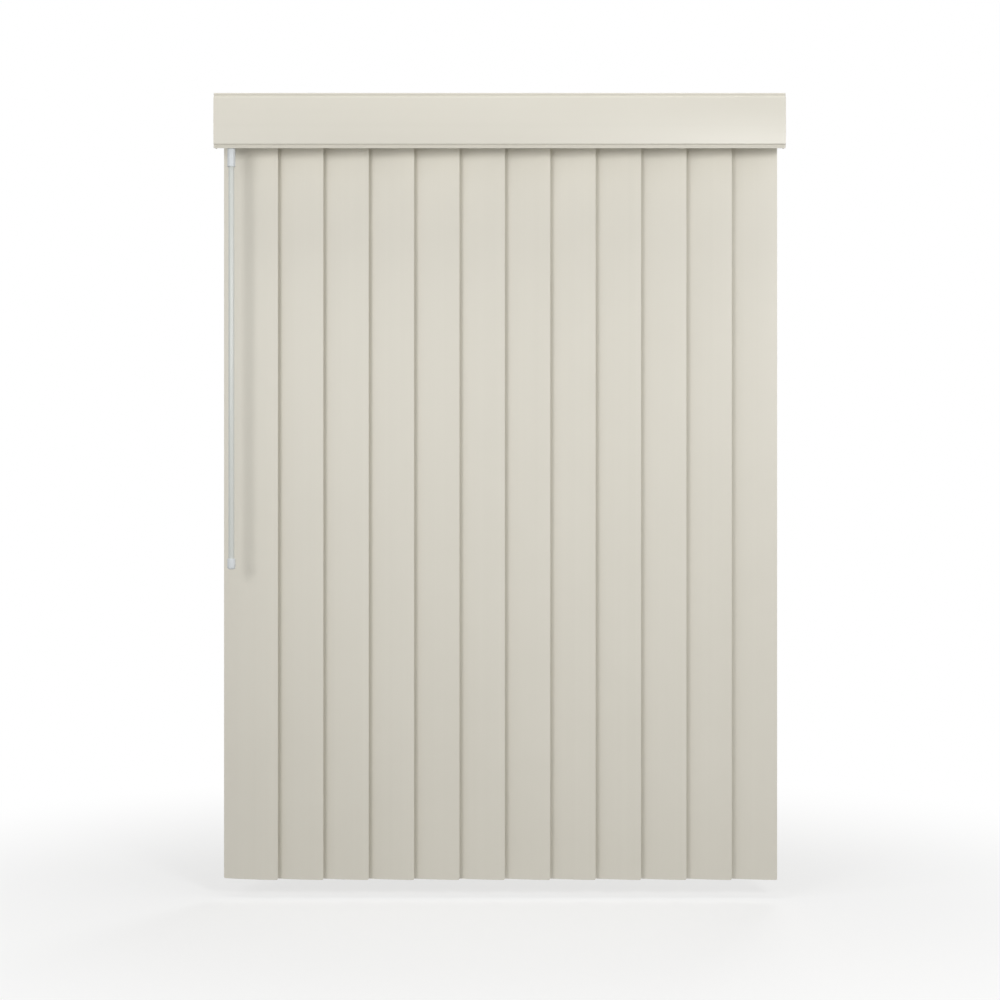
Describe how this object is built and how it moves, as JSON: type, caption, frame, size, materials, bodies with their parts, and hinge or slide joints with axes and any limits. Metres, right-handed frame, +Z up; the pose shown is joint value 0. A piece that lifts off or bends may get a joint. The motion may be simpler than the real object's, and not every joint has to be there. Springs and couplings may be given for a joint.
{
  "type": "vertical blind",
  "caption": "Wand-operated vertical blind: bowed PVC vanes hang from carriers in a slotted headrail behind a stepped valance, and turn and draw together.",
  "frame": {"origin": "middle of the mounting plane, on the top faces of the two brackets, above the line of the vane axes", "axes": "+Z up, +X to the right of someone facing the valance, -Y towards the room"},
  "size_m": [0.8904, 0.0893, 1.2377],
  "materials": {
    "vane_pvc": "matt ivory PVC",
    "valance_pvc": "satin ivory PVC",
    "rail_aluminium": "white enamelled aluminium",
    "cap_plastic": "matt white",
    "rod_aluminium": "drawn",
    "bracket_steel": "zinc plated",
    "clip_plastic": "clear",
    "carrier_acetal": "natural white",
    "gear_acetal": "natural white",
    "hanger_plastic": "milky clear",
    "wand_plastic": "glossy white",
    "wand_fitting_plastic": "glossy cool white"
  },
  "bodies": {
    "headrail": {"headrail": "rail_aluminium", "end_cap_left": "cap_plastic", "end_cap_right": "cap_plastic", "mounting_brackets": "bracket_steel", "valance": "valance_pvc", "valance_clips": "clip_plastic", "carrier_12": "carrier_acetal"},
    "lead_carrier": {"carrier_01": "carrier_acetal"},
    "carrier_02": {"carrier_02": "carrier_acetal"},
    "carrier_03": {"carrier_03": "carrier_acetal"},
    "carrier_04": {"carrier_04": "carrier_acetal"},
    "carrier_05": {"carrier_05": "carrier_acetal"},
    "carrier_06": {"carrier_06": "carrier_acetal"},
    "carrier_07": {"carrier_07": "carrier_acetal"},
    "carrier_08": {"carrier_08": "carrier_acetal"},
    "carrier_09": {"carrier_09": "carrier_acetal"},
    "carrier_10": {"carrier_10": "carrier_acetal"},
    "carrier_11": {"carrier_11": "carrier_acetal"},
    "vane_01": {"vane_01": "vane_pvc", "hanger_01": "hanger_plastic"},
    "vane_02": {"vane_02": "vane_pvc", "hanger_02": "hanger_plastic"},
    "vane_03": {"vane_03": "vane_pvc", "hanger_03": "hanger_plastic"},
    "vane_04": {"vane_04": "vane_pvc", "hanger_04": "hanger_plastic"},
    "vane_05": {"vane_05": "vane_pvc", "hanger_05": "hanger_plastic"},
    "vane_06": {"vane_06": "vane_pvc", "hanger_06": "hanger_plastic"},
    "vane_07": {"vane_07": "vane_pvc", "hanger_07": "hanger_plastic"},
    "vane_08": {"vane_08": "vane_pvc", "hanger_08": "hanger_plastic"},
    "vane_09": {"vane_09": "vane_pvc", "hanger_09": "hanger_plastic"},
    "vane_10": {"vane_10": "vane_pvc", "hanger_10": "hanger_plastic"},
    "vane_11": {"vane_11": "vane_pvc", "hanger_11": "hanger_plastic"},
    "vane_12": {"vane_12": "vane_pvc", "hanger_12": "hanger_plastic"},
    "worm_01": {"worm_01": "gear_acetal"},
    "worm_02": {"worm_02": "gear_acetal"},
    "worm_03": {"worm_03": "gear_acetal"},
    "worm_04": {"worm_04": "gear_acetal"},
    "worm_05": {"worm_05": "gear_acetal"},
    "worm_06": {"worm_06": "gear_acetal"},
    "worm_07": {"worm_07": "gear_acetal"},
    "worm_08": {"worm_08": "gear_acetal"},
    "worm_09": {"worm_09": "gear_acetal"},
    "worm_10": {"worm_10": "gear_acetal"},
    "worm_11": {"worm_11": "gear_acetal"},
    "worm_12": {"worm_12": "gear_acetal"},
    "tilt_rod": {"tilt_rod": "rod_aluminium"},
    "cross_shaft": {"cross_shaft": "gear_acetal"},
    "wand_stub": {"wand_stub": "wand_fitting_plastic"},
    "wand": {"wand_sleeve": "wand_fitting_plastic", "wand_rod": "wand_plastic", "wand_tip": "wand_fitting_plastic"}
  },
  "joints": [
    {"name": "draw", "type": "slide", "parent": "headrail", "child": "lead_carrier", "axis": [1, 0, 0], "range_m": [0, 0.627]},
    {"name": "carrier_02_slide", "type": "slide", "parent": "headrail", "child": "carrier_02", "axis": [1, 0, 0], "range_m": [0, 0.57]},
    {"name": "carrier_03_slide", "type": "slide", "parent": "headrail", "child": "carrier_03", "axis": [1, 0, 0], "range_m": [0, 0.513]},
    {"name": "carrier_04_slide", "type": "slide", "parent": "headrail", "child": "carrier_04", "axis": [1, 0, 0], "range_m": [0, 0.456]},
    {"name": "carrier_05_slide", "type": "slide", "parent": "headrail", "child": "carrier_05", "axis": [1, 0, 0], "range_m": [0, 0.399]},
    {"name": "carrier_06_slide", "type": "slide", "parent": "headrail", "child": "carrier_06", "axis": [1, 0, 0], "range_m": [0, 0.342]},
    {"name": "carrier_07_slide", "type": "slide", "parent": "headrail", "child": "carrier_07", "axis": [1, 0, 0], "range_m": [0, 0.285]},
    {"name": "carrier_08_slide", "type": "slide", "parent": "headrail", "child": "carrier_08", "axis": [1, 0, 0], "range_m": [0, 0.228]},
    {"name": "carrier_09_slide", "type": "slide", "parent": "headrail", "child": "carrier_09", "axis": [1, 0, 0], "range_m": [0, 0.171]},
    {"name": "carrier_10_slide", "type": "slide", "parent": "headrail", "child": "carrier_10", "axis": [1, 0, 0], "range_m": [0, 0.114]},
    {"name": "carrier_11_slide", "type": "slide", "parent": "headrail", "child": "carrier_11", "axis": [1, 0, 0], "range_m": [0, 0.057]},
    {"name": "tilt", "type": "hinge", "parent": "lead_carrier", "child": "vane_01", "pos_m": [-0.396, 0, 0], "axis": [0, 0, -1], "range_deg": [0, 160]},
    {"name": "vane_02_turn", "type": "hinge", "parent": "carrier_02", "child": "vane_02", "pos_m": [-0.324, 0, 0], "axis": [0, 0, -1], "range_deg": [0, 160]},
    {"name": "vane_03_turn", "type": "hinge", "parent": "carrier_03", "child": "vane_03", "pos_m": [-0.252, 0, 0], "axis": [0, 0, -1], "range_deg": [0, 160]},
    {"name": "vane_04_turn", "type": "hinge", "parent": "carrier_04", "child": "vane_04", "pos_m": [-0.18, 0, 0], "axis": [0, 0, -1], "range_deg": [0, 160]},
    {"name": "vane_05_turn", "type": "hinge", "parent": "carrier_05", "child": "vane_05", "pos_m": [-0.108, 0, 0], "axis": [0, 0, -1], "range_deg": [0, 160]},
    {"name": "vane_06_turn", "type": "hinge", "parent": "carrier_06", "child": "vane_06", "pos_m": [-0.036, 0, 0], "axis": [0, 0, -1], "range_deg": [0, 160]},
    {"name": "vane_07_turn", "type": "hinge", "parent": "carrier_07", "child": "vane_07", "pos_m": [0.036, 0, 0], "axis": [0, 0, -1], "range_deg": [0, 160]},
    {"name": "vane_08_turn", "type": "hinge", "parent": "carrier_08", "child": "vane_08", "pos_m": [0.108, 0, 0], "axis": [0, 0, -1], "range_deg": [0, 160]},
    {"name": "vane_09_turn", "type": "hinge", "parent": "carrier_09", "child": "vane_09", "pos_m": [0.18, 0, 0], "axis": [0, 0, -1], "range_deg": [0, 160]},
    {"name": "vane_10_turn", "type": "hinge", "parent": "carrier_10", "child": "vane_10", "pos_m": [0.252, 0, 0], "axis": [0, 0, -1], "range_deg": [0, 160]},
    {"name": "vane_11_turn", "type": "hinge", "parent": "carrier_11", "child": "vane_11", "pos_m": [0.324, 0, 0], "axis": [0, 0, -1], "range_deg": [0, 160]},
    {"name": "vane_12_turn", "type": "hinge", "parent": "headrail", "child": "vane_12", "pos_m": [0.396, 0, 0], "axis": [0, 0, -1], "range_deg": [0, 160]},
    {"name": "worm_01_spin", "type": "hinge", "parent": "lead_carrier", "child": "worm_01", "pos_m": [-0.396, 0.00865, -0.02], "axis": [-1, 0, 0], "range_deg": [0, 1440]},
    {"name": "worm_02_spin", "type": "hinge", "parent": "carrier_02", "child": "worm_02", "pos_m": [-0.324, 0.00865, -0.02], "axis": [-1, 0, 0], "range_deg": [0, 1440]},
    {"name": "worm_03_spin", "type": "hinge", "parent": "carrier_03", "child": "worm_03", "pos_m": [-0.252, 0.00865, -0.02], "axis": [-1, 0, 0], "range_deg": [0, 1440]},
    {"name": "worm_04_spin", "type": "hinge", "parent": "carrier_04", "child": "worm_04", "pos_m": [-0.18, 0.00865, -0.02], "axis": [-1, 0, 0], "range_deg": [0, 1440]},
    {"name": "worm_05_spin", "type": "hinge", "parent": "carrier_05", "child": "worm_05", "pos_m": [-0.108, 0.00865, -0.02], "axis": [-1, 0, 0], "range_deg": [0, 1440]},
    {"name": "worm_06_spin", "type": "hinge", "parent": "carrier_06", "child": "worm_06", "pos_m": [-0.036, 0.00865, -0.02], "axis": [-1, 0, 0], "range_deg": [0, 1440]},
    {"name": "worm_07_spin", "type": "hinge", "parent": "carrier_07", "child": "worm_07", "pos_m": [0.036, 0.00865, -0.02], "axis": [-1, 0, 0], "range_deg": [0, 1440]},
    {"name": "worm_08_spin", "type": "hinge", "parent": "carrier_08", "child": "worm_08", "pos_m": [0.108, 0.00865, -0.02], "axis": [-1, 0, 0], "range_deg": [0, 1440]},
    {"name": "worm_09_spin", "type": "hinge", "parent": "carrier_09", "child": "worm_09", "pos_m": [0.18, 0.00865, -0.02], "axis": [-1, 0, 0], "range_deg": [0, 1440]},
    {"name": "worm_10_spin", "type": "hinge", "parent": "carrier_10", "child": "worm_10", "pos_m": [0.252, 0.00865, -0.02], "axis": [-1, 0, 0], "range_deg": [0, 1440]},
    {"name": "worm_11_spin", "type": "hinge", "parent": "carrier_11", "child": "worm_11", "pos_m": [0.324, 0.00865, -0.02], "axis": [-1, 0, 0], "range_deg": [0, 1440]},
    {"name": "worm_12_spin", "type": "hinge", "parent": "headrail", "child": "worm_12", "pos_m": [0.396, 0.00865, -0.02], "axis": [-1, 0, 0], "range_deg": [0, 1440]},
    {"name": "tilt_rod_spin", "type": "hinge", "parent": "headrail", "child": "tilt_rod", "pos_m": [0, 0.00865, -0.02], "axis": [-1, 0, 0], "range_deg": [0, 1440]},
    {"name": "cross_shaft_spin", "type": "hinge", "parent": "lead_carrier", "child": "cross_shaft", "pos_m": [-0.419, 0, -0.034], "axis": [0, -1, 0], "range_deg": [0, 1440]},
    {"name": "wand_twist", "type": "hinge", "parent": "lead_carrier", "child": "wand_stub", "pos_m": [-0.419, -0.0525, -0.0622], "axis": [0, 0, -1], "range_deg": [0, 1440]},
    {"name": "wand_swing", "type": "hinge", "parent": "wand_stub", "child": "wand", "pos_m": [-0.419, -0.0525, -0.0622], "axis": [0, 1, 0], "range_deg": [-30, 30]}
  ],
  "couplings": [
    {"joint": "carrier_02_slide", "follows": "draw", "ratio": 0.90909},
    {"joint": "carrier_03_slide", "follows": "draw", "ratio": 0.81818},
    {"joint": "carrier_04_slide", "follows": "draw", "ratio": 0.72727},
    {"joint": "carrier_05_slide", "follows": "draw", "ratio": 0.63636},
    {"joint": "carrier_06_slide", "follows": "draw", "ratio": 0.54545},
    {"joint": "carrier_07_slide", "follows": "draw", "ratio": 0.45455},
    {"joint": "carrier_08_slide", "follows": "draw", "ratio": 0.36364},
    {"joint": "carrier_09_slide", "follows": "draw", "ratio": 0.27273},
    {"joint": "carrier_10_slide", "follows": "draw", "ratio": 0.18182},
    {"joint": "carrier_11_slide", "follows": "draw", "ratio": 0.090909},
    {"joint": "vane_02_turn", "follows": "tilt", "ratio": 1},
    {"joint": "vane_03_turn", "follows": "tilt", "ratio": 1},
    {"joint": "vane_04_turn", "follows": "tilt", "ratio": 1},
    {"joint": "vane_05_turn", "follows": "tilt", "ratio": 1},
    {"joint": "vane_06_turn", "follows": "tilt", "ratio": 1},
    {"joint": "vane_07_turn", "follows": "tilt", "ratio": 1},
    {"joint": "vane_08_turn", "follows": "tilt", "ratio": 1},
    {"joint": "vane_09_turn", "follows": "tilt", "ratio": 1},
    {"joint": "vane_10_turn", "follows": "tilt", "ratio": 1},
    {"joint": "vane_11_turn", "follows": "tilt", "ratio": 1},
    {"joint": "vane_12_turn", "follows": "tilt", "ratio": 1},
    {"joint": "worm_01_spin", "follows": "tilt", "ratio": 9},
    {"joint": "worm_02_spin", "follows": "tilt", "ratio": 9},
    {"joint": "worm_03_spin", "follows": "tilt", "ratio": 9},
    {"joint": "worm_04_spin", "follows": "tilt", "ratio": 9},
    {"joint": "worm_05_spin", "follows": "tilt", "ratio": 9},
    {"joint": "worm_06_spin", "follows": "tilt", "ratio": 9},
    {"joint": "worm_07_spin", "follows": "tilt", "ratio": 9},
    {"joint": "worm_08_spin", "follows": "tilt", "ratio": 9},
    {"joint": "worm_09_spin", "follows": "tilt", "ratio": 9},
    {"joint": "worm_10_spin", "follows": "tilt", "ratio": 9},
    {"joint": "worm_11_spin", "follows": "tilt", "ratio": 9},
    {"joint": "worm_12_spin", "follows": "tilt", "ratio": 9},
    {"joint": "tilt_rod_spin", "follows": "tilt", "ratio": 9},
    {"joint": "cross_shaft_spin", "follows": "tilt", "ratio": 9},
    {"joint": "wand_twist", "follows": "tilt", "ratio": 9}
  ]
}
